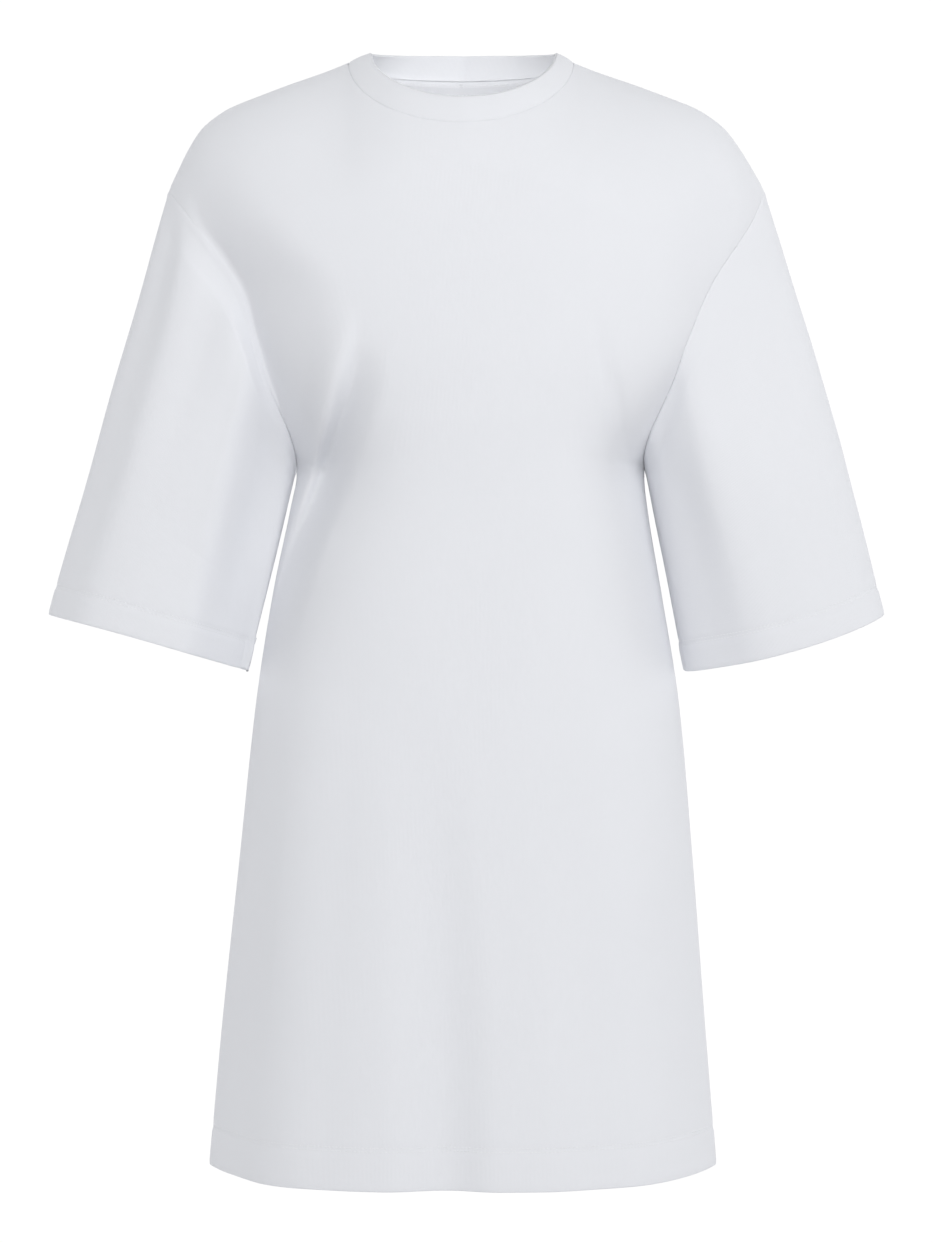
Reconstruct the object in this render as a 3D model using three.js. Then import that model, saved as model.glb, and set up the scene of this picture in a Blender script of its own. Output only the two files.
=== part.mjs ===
import * as THREE from 'three';

// A t-shirt dress of heavy jersey, filled out on a general figure and hollow, open at neck, cuffs and hem.
// Millimetres, +Z up, the front faces -Y and +X is the viewer's right. The origin is the middle of the neck
// ring, level with the high points of the shoulders.

// Cloth and seams
const clothThickness = 1.5;
const turnUpThickness = 3.0;
const neckbandThickness = 2.6;
const tapeThickness = 1.0;
const seamGap = 0.3;

// Heights
const hemHeight = -914;
const underarmHeight = -337;
const shoulderPointHeight = -107;
const hemTurnUp = 32;
const cuffTurnUp = 24;
const ledgeRise = 1.2;

// Neck
const neckHalfWidth = 93.5;
const neckDropFront = 62;
const neckDropBack = 6;
const bandTopHalfWidth = 76.5;
const bandTopShift = 2.2;
const bandTopHeight = 8.5;
const bandTopDropFront = 48;
const bandTopRiseBack = 6.5;
const bandTopDepthRatio = 0.93;
const bandSwell = 0.9;
const tapeWidth = 10;
const tapeClearance = 1.4;
const tapeLift = 0.25;
const tapeTurn = THREE.MathUtils.degToRad(68);

// Shoulders: how far below the shoulder line the cloth has turned fully down, and how round it is at the arm
const shoulderTurn = 130;
const armCurve = 2.1;

// Sleeves: an oval cuff, square to an arm that stands out from the body
const cuffCentre = { x: 264, z: -481 };
const cuffHalfWidth = 86;
const cuffHalfDepth = 60;
const cuffRoundness = 2.2;
const armAngle = THREE.MathUtils.degToRad(16);
const cuffDip = 4;
const overarmSwell = 5;
const sleeveShift = { out: 0.36, down: 0.12 };

// How finely the pieces are divided
const halfColumns = 15;
const neckColumns = 7;
const skirtRows = 16;
const armholeRows = 16;
const sleeveRows = 12;
const tapeColumns = 7;

// How nearly two pieces must face the same way (as a cosine) to share a seam's direction
const seamFacing = 0.3;

// The body at each height: half its width at the side seams, the half width that the middle of the cloth
// follows (above the underarm both are guides only), where its middle lies, how far the front and the back
// stand out, and the section's shape, from round at the chest to a flatter lens at the hem
const bodySections = [
  { z: 40, half: 285, inner: 285, middle: -4.5, front: 100, back: 88, flatness: 2.4, edge: 0.42 },
  { z: -8, half: 276, inner: 276, middle: -4.5, front: 100, back: 90, flatness: 2.4, edge: 0.42 },
  { z: -60, half: 267, inner: 267, middle: -2.5, front: 101, back: 92, flatness: 2.4, edge: 0.42 },
  { z: -107, half: 255, inner: 255, middle: 0, front: 106, back: 96, flatness: 2.4, edge: 0.42 },
  { z: -150, half: 239, inner: 239, middle: 0.5, front: 112, back: 100, flatness: 2.4, edge: 0.42 },
  { z: -192, half: 221, inner: 221, middle: 1, front: 118, back: 103, flatness: 2.4, edge: 0.42 },
  { z: -250, half: 194, inner: 196, middle: 2, front: 123, back: 105, flatness: 2.4, edge: 0.42 },
  { z: -300, half: 163, inner: 178, middle: 3, front: 122, back: 105, flatness: 2.4, edge: 0.44 },
  { z: -320, half: 151.5, inner: 172, middle: 3.4, front: 120.5, back: 104.4, flatness: 2.4, edge: 0.46 },
  { z: -337, half: 144.5, inner: 168.8, middle: 3.6, front: 119.6, back: 104, flatness: 2.5, edge: 0.5 },
  { z: -372, half: 148.6, inner: 165, middle: 2, front: 118, back: 103.5, flatness: 2.8, edge: 0.6 },
  { z: -438, half: 161, inner: 168, middle: 0.6, front: 117, back: 105, flatness: 3.1, edge: 0.68 },
  { z: -530, half: 175.5, inner: 177, middle: 0.8, front: 120, back: 110, flatness: 3.3, edge: 0.74 },
  { z: -662, half: 188.4, inner: 188.4, middle: -0.4, front: 128, back: 120, flatness: 3.4, edge: 0.8 },
  { z: -795, half: 200.4, inner: 200.4, middle: -2.4, front: 139, back: 133, flatness: 3.5, edge: 0.84 },
  { z: -914, half: 210.5, inner: 210.5, middle: -3, front: 150, back: 146, flatness: 3.6, edge: 0.88 },
];

// The shoulder line from the middle of the neck out to the armhole. Inside the neck it is only a guide.
const shoulderLine = [
  { x: 0, z: 34 },
  { x: 50, z: 22 },
  { x: 80, z: 7 },
  { x: 93.5, z: 0 },
  { x: 113, z: -8 },
  { x: 141, z: -18 },
  { x: 167, z: -28 },
  { x: 193, z: -38.5 },
  { x: 208, z: -48 },
  { x: 218, z: -57 },
  { x: 229, z: -73 },
  { x: 238.5, z: -90 },
  { x: 247, z: -107 },
  { x: 262, z: -150 },
];

// The armhole seams between shoulder and underarm, as distances from the middle. The left one is drawn in
// further by the deep fold beside it.
const armholeSeams = {
  left: [
    { x: 227, z: -133 },
    { x: 211, z: -154 },
    { x: 189, z: -184 },
    { x: 177.5, z: -214 },
    { x: 170, z: -244 },
    { x: 160, z: -276 },
    { x: 146, z: -309 },
    { x: 141.6, z: -326 },
  ],
  right: [
    { x: 236, z: -133 },
    { x: 223, z: -154 },
    { x: 200, z: -189 },
    { x: 180, z: -235 },
    { x: 168.5, z: -268 },
    { x: 159, z: -290 },
    { x: 150, z: -311 },
    { x: 146.8, z: -326 },
  ],
};

// Folds that press the cloth in (a negative depth raises it), one row for each: where it starts and ends,
// how far it bows out sideways, how deep it is, and its reach on the side of lower x and of higher x
const frontFolds = [
  { top: -92, bottom: -348, xTop: -226, xBottom: -138, bow: 6, depth: 29, lower: 20, higher: 66 },
  { top: -212, bottom: -398, xTop: -96, xBottom: -150, bow: 4, depth: -7, lower: 24, higher: 20 },
  { top: -235, bottom: -485, xTop: -82, xBottom: -174, bow: -5, depth: 18, lower: 20, higher: 42 },
  { top: -80, bottom: -330, xTop: 214, xBottom: 150, bow: 4, depth: 8, lower: 44, higher: 22 },
  { top: -230, bottom: -380, xTop: 104, xBottom: 138, bow: 3, depth: 3.5, lower: 20, higher: 16 },
  { top: -570, bottom: -1150, xTop: -30, xBottom: -14, bow: 4, depth: 5, lower: 48, higher: 42 },
  { top: -560, bottom: -1150, xTop: 74, xBottom: 104, bow: 0, depth: 4, lower: 40, higher: 46 },
  { top: -480, bottom: -1150, xTop: -120, xBottom: -128, bow: 0, depth: -4, lower: 40, higher: 44 },
];
const backFolds = [
  { top: -90, bottom: -345, xTop: -206, xBottom: -146, bow: -3, depth: 13, lower: 24, higher: 60 },
  { top: -84, bottom: -350, xTop: 210, xBottom: 148, bow: 3, depth: 15, lower: 64, higher: 24 },
  { top: -250, bottom: -470, xTop: 92, xBottom: 160, bow: 5, depth: 9, lower: 44, higher: 26 },
  { top: -320, bottom: -540, xTop: -70, xBottom: -150, bow: -5, depth: 7, lower: 26, higher: 44 },
  { top: -150, bottom: -620, xTop: 4, xBottom: -8, bow: 4, depth: 6, lower: 46, higher: 46 },
  { top: -560, bottom: -1150, xTop: -62, xBottom: -84, bow: 0, depth: 6, lower: 44, higher: 44 },
  { top: -600, bottom: -1150, xTop: 54, xBottom: 62, bow: 4, depth: 6, lower: 42, higher: 50 },
];

// Folds of the sleeves: round the arm from the overarm line (0) by the front to the underarm (1) and by the
// back to the overarm again (2), along it from armhole (0) to cuff (1). One that is pressed straight back
// leaves the sleeve's outline as it is.
const leftSleeveFolds = [
  { from: -0.2, to: 1.6, roundFrom: 0.26, roundTo: 0.27, depth: -8, reach: 0.26 },
  { from: -0.1, to: 1.5, roundFrom: 0.8, roundTo: 0.82, depth: 14, reach: 0.2, straightBack: true },
  { from: -0.3, to: 0.62, roundFrom: 0.66, roundTo: 0.6, depth: -9, reach: 0.22 },
  { from: -0.2, to: 1.5, roundFrom: 0.16, roundTo: 0.2, depth: 5, reach: 0.12 },
  { from: 0.2, to: 1.6, roundFrom: 0.76, roundTo: 0.72, depth: 4, reach: 0.16 },
  { from: -0.3, to: 0.9, roundFrom: 1.36, roundTo: 1.44, depth: 7, reach: 0.2 },
];
const rightSleeveFolds = [
  { from: -0.3, to: 0.7, roundFrom: 0.62, roundTo: 0.56, depth: -6, reach: 0.22 },
  { from: 0.15, to: 1.6, roundFrom: 0.74, roundTo: 0.7, depth: 5, reach: 0.18 },
  { from: 0, to: 1.3, roundFrom: 0.3, roundTo: 0.34, depth: 3, reach: 0.14 },
  { from: -0.3, to: 0.9, roundFrom: 1.4, roundTo: 1.46, depth: 6, reach: 0.2 },
];

// Colours and finish
const cloth = { color: 0xeeeff2, roughness: 0.88, metalness: 0 };
const frontCloth = new THREE.MeshStandardMaterial(cloth);
const backCloth = new THREE.MeshStandardMaterial(cloth);
const sleeveCloth = new THREE.MeshStandardMaterial(cloth);
const bandCloth = new THREE.MeshStandardMaterial({ ...cloth, roughness: 0.92 });
const tapeCloth = new THREE.MeshStandardMaterial({ ...cloth, color: 0xe4e5e8 });

// One column of a table at a place between its rows, on a smooth curve through them
function readTable(table, key, column, place) {
  const descending = table[0][key] > table[table.length - 1][key];
  const along = (row) => (descending ? -row[key] : row[key]);
  const at = THREE.MathUtils.clamp(descending ? -place : place, along(table[0]), along(table[table.length - 1]));
  let i = 0;
  while (i < table.length - 2 && along(table[i + 1]) < at) i += 1;
  const slope = (j) => {
    const before = table[Math.max(j - 1, 0)];
    const after = table[Math.min(j + 1, table.length - 1)];
    return (after[column] - before[column]) / (along(after) - along(before));
  };
  const span = along(table[i + 1]) - along(table[i]);
  const t = (at - along(table[i])) / span;
  const rise = table[i + 1][column] - table[i][column];
  const startBend = slope(i) * span - rise;
  const endBend = rise - slope(i + 1) * span;
  return table[i][column] + t * rise + t * (1 - t) * ((1 - t) * startBend + t * endBend);
}

function section(column, z) {
  return readTable(bodySections, 'z', column, z);
}

// A bump of height 1 that fades to nothing at a distance of 1
function bell(distance) {
  return 0.5 + 0.5 * Math.cos(Math.PI * Math.min(Math.abs(distance), 1));
}

// How far the folds of a panel press it in at a point
function pressIn(folds, x, z) {
  let depth = 0;
  for (const fold of folds) {
    const along = (z - fold.top) / (fold.bottom - fold.top);
    if (along <= 0 || along >= 1) continue;
    const swing = Math.sin(Math.PI * along);
    const middle = THREE.MathUtils.lerp(fold.xTop, fold.xBottom, along) + fold.bow * swing;
    const reach = x < middle ? fold.lower : fold.higher;
    depth += fold.depth * Math.sqrt(swing) * bell((x - middle) / reach);
  }
  return depth;
}

const front = { sign: -1, column: 'front', folds: frontFolds, neckCurve: 1.6, neckDrop: neckDropFront };
const back = { sign: 1, column: 'back', folds: backFolds, neckCurve: 2.0, neckDrop: neckDropBack };

// How far the front or the back stands out from the plane of the side seams
function depthAt(face, x, z) {
  const fromMiddle = Math.abs(x - section('middle', z));
  const toSide = Math.min(fromMiddle / section('half', z), 1);
  const toGuide = Math.min(fromMiddle / section('inner', z), 1);
  const outward = THREE.MathUtils.lerp(toGuide, toSide, THREE.MathUtils.smoothstep(toSide, 0.35, 1));
  const across = Math.pow(1 - Math.pow(outward, section('flatness', z)), section('edge', z));
  const below = readTable(shoulderLine, 'x', 'z', fromMiddle) - z;
  const turned = THREE.MathUtils.clamp(below / shoulderTurn, 0, 1);
  const towardsArm = THREE.MathUtils.smoothstep(fromMiddle, neckHalfWidth, 2 * neckHalfWidth);
  const curve = THREE.MathUtils.lerp(face.neckCurve, armCurve, towardsArm);
  const overShoulder = Math.pow(1 - Math.pow(1 - turned, curve), 1 / curve);
  const fade = Math.min(1, 1.6 * across) * Math.min(1, 1.4 * overShoulder);
  return section(face.column, z) * across * overShoulder - pressIn(face.folds, x, z) * fade;
}

function surfacePoint(face, flat) {
  return new THREE.Vector3(flat.x, face.sign * depthAt(face, flat.x, flat.y), flat.y);
}

// Points of the panels' edges in the plane of the side seams, for the left (-1) or right (1) side
function shoulderPoint(side) {
  const half = readTable(shoulderLine, 'z', 'x', shoulderPointHeight);
  return new THREE.Vector2(section('middle', shoulderPointHeight) + side * half, shoulderPointHeight);
}

function sidePoint(side, z, share = 1) {
  return new THREE.Vector2(section('middle', z) + side * share * section('half', z), z);
}

function curveThrough(points) {
  return new THREE.CatmullRomCurve3(points.map((p) => new THREE.Vector3(p.x, p.y, 0)), false, 'centripetal');
}

function armholeCurve(side) {
  const rows = side < 0 ? armholeSeams.left : armholeSeams.right;
  const between = rows.map((row) => new THREE.Vector2(side * row.x, row.z)).reverse();
  return curveThrough([sidePoint(side, underarmHeight), ...between, shoulderPoint(side)]);
}

function shoulderSeamCurve(side) {
  const rows = shoulderLine.filter((row) => row.x >= neckHalfWidth && row.z >= shoulderPointHeight);
  const points = rows.map((row) => new THREE.Vector2(section('middle', row.z) + side * row.x, row.z));
  return curveThrough(points);
}

const armholes = { left: armholeCurve(-1), right: armholeCurve(1) };
const shoulderSeams = { left: shoulderSeamCurve(-1), right: shoulderSeamCurve(1) };

function flatPoint(curve, part) {
  const point = curve.getPointAt(THREE.MathUtils.clamp(part, 0, 1));
  return new THREE.Vector2(point.x, point.y);
}

// Steps from 0 to 1 that are close together at both ends
function easedStep(step, steps) {
  return 0.5 - 0.5 * Math.cos((Math.PI * step) / steps);
}

function neckEdge(face, turn) {
  const z = -face.neckDrop * Math.cos(turn);
  return new THREE.Vector2(section('middle', 0) + neckHalfWidth * Math.sin(turn), z);
}

// A panel's top edge at a column: round the neck, then along the shoulder seam
function topEdge(face, side, column) {
  if (column <= neckColumns) {
    return neckEdge(face, (side * 0.5 * Math.PI * column) / neckColumns);
  }
  const part = (column - neckColumns) / (halfColumns - neckColumns);
  return flatPoint(side < 0 ? shoulderSeams.left : shoulderSeams.right, part);
}

// Heights of the straight rows below the underarm, with a narrow ledge where the hem's turn-up ends
function skirtHeights() {
  const ledge = hemHeight + hemTurnUp;
  const heights = [hemHeight, hemHeight + hemTurnUp / 2, ledge, ledge + ledgeRise];
  for (let i = 1; i < skirtRows; i += 1) {
    heights.push(THREE.MathUtils.lerp(ledge + ledgeRise, underarmHeight, i / skirtRows));
  }
  return heights;
}

// The outer points of the front or back, row by row from the hem to the neck and shoulders
function panelRows(face) {
  const columns = [];
  for (let c = -halfColumns; c <= halfColumns; c += 1) columns.push(face === front ? c : -c);
  const share = (c) => Math.sin((0.5 * Math.PI * Math.abs(c)) / halfColumns);
  const rows = skirtHeights().map((z) => columns.map((c) => sidePoint(Math.sign(c), z, share(c))));
  for (let j = 0; j <= armholeRows; j += 1) {
    const t = easedStep(j, armholeRows);
    rows.push(columns.map((c) => {
      const side = c < 0 ? -1 : 1;
      const armhole = flatPoint(side < 0 ? armholes.left : armholes.right, t);
      const low = sidePoint(side, underarmHeight, share(c));
      const straight = low.lerp(topEdge(face, side, Math.abs(c)), t);
      const chord = sidePoint(side, underarmHeight).lerp(shoulderPoint(side), t);
      return straight.add(armhole.sub(chord).multiplyScalar(share(c)));
    }));
  }
  return rows.map((row) => row.map((flat) => {
    const point = surfacePoint(face, flat);
    point.y += face.sign * seamGap * 0.5;
    return point;
  }));
}

// The outward direction at each point of a grid of outer points
function outwardDirections(rows, closed) {
  return rows.map((row, r) => row.map((point, c) => {
    const last = row.length - 1;
    const next = closed ? row[(c + 1) % row.length] : row[Math.min(c + 1, last)];
    const previous = closed ? row[(c + last) % row.length] : row[Math.max(c - 1, 0)];
    const above = rows[Math.min(r + 1, rows.length - 1)][c];
    const below = rows[Math.max(r - 1, 0)][c];
    const across = next.clone().sub(previous);
    return across.cross(above.clone().sub(below)).normalize();
  }));
}

// A piece before it gets its thickness: its outer points, their outward directions and how thick each row is
function clothPiece(name, rows, closed, thickness, material) {
  return { name, rows, closed, thickness, material, directions: outwardDirections(rows, closed) };
}

function edgePoints(piece) {
  const found = [];
  piece.rows.forEach((row, r) => row.forEach((point, c) => {
    const atEnd = r === 0 || r === piece.rows.length - 1;
    const atSide = !piece.closed && (c === 0 || c === row.length - 1);
    if (atEnd || atSide) found.push({ piece, point, direction: piece.directions[r][c] });
  }));
  return found;
}

// Where pieces meet at a seam and face nearly the same way, they share one direction, so that their walls
// end side by side. Under the arm, where they face each other, each keeps its own.
function squareToSeams(pieces) {
  const edges = pieces.flatMap(edgePoints);
  const shared = edges.map((own) => {
    const sum = own.direction.clone();
    for (const other of edges) {
      const meets = other.piece !== own.piece && other.point.distanceTo(own.point) < 3 * seamGap;
      if (meets && other.direction.dot(own.direction) > seamFacing) sum.add(other.direction);
    }
    return sum.normalize();
  });
  edges.forEach((own, i) => own.direction.copy(shared[i]));
}

// A closed wall of cloth between a grid of outer points and the same points moved in by a thickness
function clothWall({ rows, directions, thickness, closed }) {
  const width = rows[0].length;
  const outer = rows.flat();
  const inner = rows.flatMap((row, r) => row.map((point, c) => (
    point.clone().addScaledVector(directions[r][c], -thickness(r))
  )));
  const points = [...outer, ...inner];
  const triangles = [];
  const quad = (a, b, c, d) => {
    if (points[a].distanceTo(points[c]) <= points[b].distanceTo(points[d])) {
      triangles.push(a, b, c, a, c, d);
    } else {
      triangles.push(a, b, d, b, c, d);
    }
  };
  const inside = outer.length;
  const spans = closed ? width : width - 1;
  for (let r = 0; r < rows.length - 1; r += 1) {
    for (let c = 0; c < spans; c += 1) {
      const a = r * width + c;
      const b = r * width + ((c + 1) % width);
      quad(a, b, b + width, a + width);
      quad(inside + b, inside + a, inside + a + width, inside + b + width);
    }
  }
  const edge = (a, b) => quad(b, a, inside + a, inside + b);
  const top = (rows.length - 1) * width;
  for (let c = 0; c < spans; c += 1) {
    edge(c, (c + 1) % width);
    edge(top + ((c + 1) % width), top + c);
  }
  for (let r = 0; r < rows.length - 1 && !closed; r += 1) {
    edge((r + 1) * width, r * width);
    edge(r * width + width - 1, (r + 1) * width + width - 1);
  }
  const geometry = new THREE.BufferGeometry();
  geometry.setAttribute('position', new THREE.Float32BufferAttribute(points.flatMap((p) => [p.x, p.y, p.z]), 3));
  geometry.setIndex(triangles);
  return geometry;
}

// Front and back: the wall is thicker over the turned-up hem
function panelPiece(name, face, material) {
  const thickness = (r) => (r <= 2 ? turnUpThickness : clothThickness);
  return clothPiece(name, panelRows(face), false, thickness, material);
}

// The armhole as a ring: from the shoulder down the front, under the arm and up the back
function armholeRing(side) {
  const curve = side < 0 ? armholes.left : armholes.right;
  const ring = [];
  for (let i = 0; i < 2 * armholeRows; i += 1) {
    const face = i <= armholeRows ? front : back;
    const j = i <= armholeRows ? armholeRows - i : i - armholeRows;
    ring.push(surfacePoint(face, flatPoint(curve, easedStep(j, armholeRows))));
  }
  return ring;
}

// The cuff's edge at a turn from the overarm line (0) by the front to the underarm (PI)
function cuffPoint(side, turn) {
  const power = 2 / cuffRoundness;
  const out = Math.sign(Math.cos(turn)) * Math.pow(Math.abs(Math.cos(turn)), power);
  const forward = Math.sign(Math.sin(turn)) * Math.pow(Math.abs(Math.sin(turn)), power);
  const dip = cuffDip * forward * forward;
  return new THREE.Vector3(
    side * (cuffCentre.x + cuffHalfWidth * Math.cos(armAngle) * out + dip * Math.sin(armAngle)),
    -cuffHalfDepth * forward,
    cuffCentre.z + cuffHalfWidth * Math.sin(armAngle) * out - dip * Math.cos(armAngle),
  );
}

// The outer points of a sleeve, from the armhole to the cuff along nearly straight lines
function sleeveRowsOf(side, folds) {
  const ring = armholeRing(side);
  const lengths = [0];
  for (let i = 1; i <= ring.length; i += 1) {
    lengths.push(lengths[i - 1] + ring[i - 1].distanceTo(ring[i % ring.length]));
  }
  const frontLength = lengths[armholeRows];
  const backLength = lengths[2 * armholeRows] - frontLength;
  const round = ring.map((_, i) => (
    i <= armholeRows ? lengths[i] / frontLength : 1 + (lengths[i] - frontLength) / backLength
  ));
  const overarmLength = ring[0].distanceTo(cuffPoint(side, 0));
  const steps = [];
  for (let i = 0; i < sleeveRows; i += 1) steps.push((i / sleeveRows) * (1 - cuffTurnUp / overarmLength));
  const turnUp = 1 - cuffTurnUp / overarmLength;
  steps.push(turnUp - ledgeRise / overarmLength, turnUp, 1);
  const outwardSide = new THREE.Vector3(side * Math.cos(armAngle), 0, Math.sin(armAngle));
  const rows = steps.map((u) => ring.map((start, i) => {
    const turn = Math.PI * round[i];
    const point = start.clone().lerp(cuffPoint(side, turn), u);
    const outward = outwardSide.clone().multiplyScalar(Math.cos(turn)).add(new THREE.Vector3(0, -Math.sin(turn), 0));
    let raise = overarmSwell * Math.sin(Math.PI * u) * Math.max(Math.cos(turn), 0);
    for (const fold of folds) {
      const along = (u - fold.from) / (fold.to - fold.from);
      const middle = THREE.MathUtils.lerp(fold.roundFrom, fold.roundTo, u);
      const swing = Math.sin(Math.PI * THREE.MathUtils.clamp(along, 0, 1));
      const pressed = fold.depth * swing * bell((round[i] - middle) / fold.reach) * Math.min(1, 6 * u);
      if (fold.straightBack) point.y += pressed;
      else raise -= pressed;
    }
    point.addScaledVector(outward, raise);
    point.x += side * sleeveShift.out;
    point.z -= sleeveShift.down;
    return point;
  }));
  return side > 0 ? rows : rows.map((row) => [row[0], ...row.slice(1).reverse()]);
}

function sleevePiece(name, side, folds) {
  const rows = sleeveRowsOf(side, folds);
  const thickness = (r) => (r >= rows.length - 2 ? turnUpThickness : clothThickness);
  return clothPiece(name, rows, true, thickness, sleeveCloth);
}

// The neckband: a doubled ring from the neck seam up to a rounded edge
function neckbandPiece() {
  const profile = [
    { up: 0, swell: 0, thickness: neckbandThickness * 0.75 },
    { up: 0.12, swell: 0.5, thickness: neckbandThickness },
    { up: 0.5, swell: 1, thickness: neckbandThickness },
    { up: 0.84, swell: 0.5, thickness: neckbandThickness },
    { up: 0.97, swell: -0.1, thickness: neckbandThickness * 0.8 },
    { up: 1, swell: -0.9, thickness: neckbandThickness * 0.4 },
  ];
  const middle = section('middle', 0);
  const rows = profile.map(() => []);
  for (let i = 0; i < 4 * neckColumns; i += 1) {
    const turn = (0.5 * Math.PI * i) / neckColumns;
    const atFront = Math.cos(turn) > -1e-9;
    const face = atFront ? front : back;
    const faceTurn = atFront ? turn : Math.PI - turn;
    const seam = surfacePoint(face, neckEdge(face, faceTurn));
    const height = bandTopHeight + (atFront ? -bandTopDropFront : bandTopRiseBack) * Math.abs(Math.cos(turn));
    const across = middle + bandTopShift + bandTopHalfWidth * Math.sin(turn);
    const top = new THREE.Vector3(across, seam.y * bandTopDepthRatio, height);
    const up = top.clone().sub(seam);
    const around = new THREE.Vector3(Math.cos(turn), Math.sin(turn), 0);
    const outward = around.cross(up).normalize();
    seam.addScaledVector(up.clone().normalize(), seamGap);
    profile.forEach((row, r) => {
      rows[r].push(seam.clone().lerp(top, row.up).addScaledVector(outward, bandSwell * row.swell));
    });
  }
  return clothPiece('neckband', rows, true, (r) => profile[r].thickness, bandCloth);
}

// The tape inside the back neck, made from the back's own points just under the neck seam
function neckTapePiece() {
  const lines = [tapeClearance + tapeWidth, tapeClearance + tapeWidth / 2, tapeClearance];
  const rows = lines.map((below) => {
    const row = [];
    for (let i = tapeColumns; i >= -tapeColumns; i -= 1) {
      const edge = neckEdge(back, (tapeTurn * i) / tapeColumns);
      row.push(surfacePoint(back, edge.setY(edge.y - below)));
    }
    return row;
  });
  const piece = clothPiece('neck_tape', rows, false, () => tapeThickness, tapeCloth);
  const inward = -(clothThickness + seamGap + tapeLift);
  rows.forEach((row, r) => row.forEach((point, c) => point.addScaledVector(piece.directions[r][c], inward)));
  return piece;
}

const sewnPieces = [
  panelPiece('front_panel', front, frontCloth),
  panelPiece('back_panel', back, backCloth),
  sleevePiece('left_sleeve', -1, leftSleeveFolds),
  sleevePiece('right_sleeve', 1, rightSleeveFolds),
  neckbandPiece(),
];
squareToSeams(sewnPieces);

const dress = new THREE.Group();
for (const piece of [...sewnPieces, neckTapePiece()]) {
  const mesh = new THREE.Mesh(clothWall(piece), piece.material);
  mesh.name = piece.name;
  dress.add(mesh);
}

export default dress;
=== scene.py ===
import bpy
import math
import numpy as np
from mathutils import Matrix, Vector


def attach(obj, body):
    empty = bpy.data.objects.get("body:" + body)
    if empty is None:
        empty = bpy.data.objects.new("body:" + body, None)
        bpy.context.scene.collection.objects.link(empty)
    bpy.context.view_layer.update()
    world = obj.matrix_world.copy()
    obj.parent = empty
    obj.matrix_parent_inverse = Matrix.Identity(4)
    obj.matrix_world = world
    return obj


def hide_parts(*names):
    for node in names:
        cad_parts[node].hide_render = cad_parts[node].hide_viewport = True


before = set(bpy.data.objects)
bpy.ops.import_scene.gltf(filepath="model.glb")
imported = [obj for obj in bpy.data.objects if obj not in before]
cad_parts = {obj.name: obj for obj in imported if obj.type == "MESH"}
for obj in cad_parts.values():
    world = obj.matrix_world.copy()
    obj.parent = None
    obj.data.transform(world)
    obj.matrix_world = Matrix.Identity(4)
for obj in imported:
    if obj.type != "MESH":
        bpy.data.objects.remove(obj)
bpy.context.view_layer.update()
mm = 0.001
print("frame loaded:", sorted(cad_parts))

# Camera: straight on, level, about three metres away, with the whole dress in an upright picture
camera = {"distance": 3.0, "height": -0.464, "lens": 104.6}
cameraData = bpy.data.cameras.new("camera")
cameraData.lens = camera["lens"]
cameraData.sensor_width = 36
cameraObject = bpy.data.objects.new("camera", cameraData)
cameraObject.location = (0, -camera["distance"], camera["height"])
cameraObject.rotation_euler = (math.pi / 2, 0, 0)
bpy.context.scene.collection.objects.link(cameraObject)
bpy.context.scene.camera = cameraObject

# Studio: a pale floor well below the hem, a bright white backdrop, soft lights from the front and both
# sides, and a small one inside the neck
studio = {
    "floor": -1.9, "floorSize": 18, "backdropAt": 5.2, "backdropWidth": 14, "backdropHeight": 10.5,
    "backdropGlow": 1.02, "world": 0.45,
}
lights = {
    "front light": {"power": 44, "size": 1.6, "at": (0.4, -3.0, 1.2)},
    "right key light": {"power": 17, "size": 1.6, "at": (2.3, -2.5, 0.9)},
    "left front light": {"power": 1, "size": 1.6, "at": (-0.8, -3.0, 0.9)},
    "left side light": {"power": 4, "size": 1.6, "at": (-2.8, -1.0, -0.3)},
    "left rim light": {"power": 11.5, "size": 1.6, "at": (-2.8, 0.8, -0.4)},
    "right rim light": {"power": 12.5, "size": 1.6, "at": (2.8, 0.8, -0.4)},
    "top light": {"power": 1, "size": 1.6, "at": (0.2, -0.6, 2.0)},
    "neck light": {"power": 0.38, "size": 0.06, "at": (0.0, -0.03, -0.13),
                   "aim": (0.0, 0.06, 0.01), "cone": 140},
}


def plainMaterial(name, colour, roughness, glow=0.0):
    made = bpy.data.materials.new(name)
    made.use_nodes = True
    shader = made.node_tree.nodes["Principled BSDF"]
    shader.inputs["Base Color"].default_value = (*colour, 1)
    shader.inputs["Roughness"].default_value = roughness
    shader.inputs["Specular IOR Level"].default_value = 0.1
    if glow:
        shader.inputs["Emission Color"].default_value = (1, 1, 1, 1)
        shader.inputs["Emission Strength"].default_value = glow
    return made


def stageSheet(name, corners, material):
    mesh = bpy.data.meshes.new(name)
    mesh.from_pydata(corners, [], [(0, 1, 2, 3)])
    mesh.materials.append(material)
    made = bpy.data.objects.new(name, mesh)
    bpy.context.scene.collection.objects.link(made)


def softLight(name, power, size, place, aim, cone=None):
    light = bpy.data.lights.new(name, "SPOT" if cone else "AREA")
    light.energy = power
    if cone:
        light.spot_size = math.radians(cone)
        light.spot_blend = 0.8
        light.shadow_soft_size = size / 2
    else:
        light.size = size
    made = bpy.data.objects.new(name, light)
    made.location = place
    made.rotation_euler = (Vector(aim) - Vector(place)).to_track_quat("-Z", "Y").to_euler()
    bpy.context.scene.collection.objects.link(made)


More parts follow.
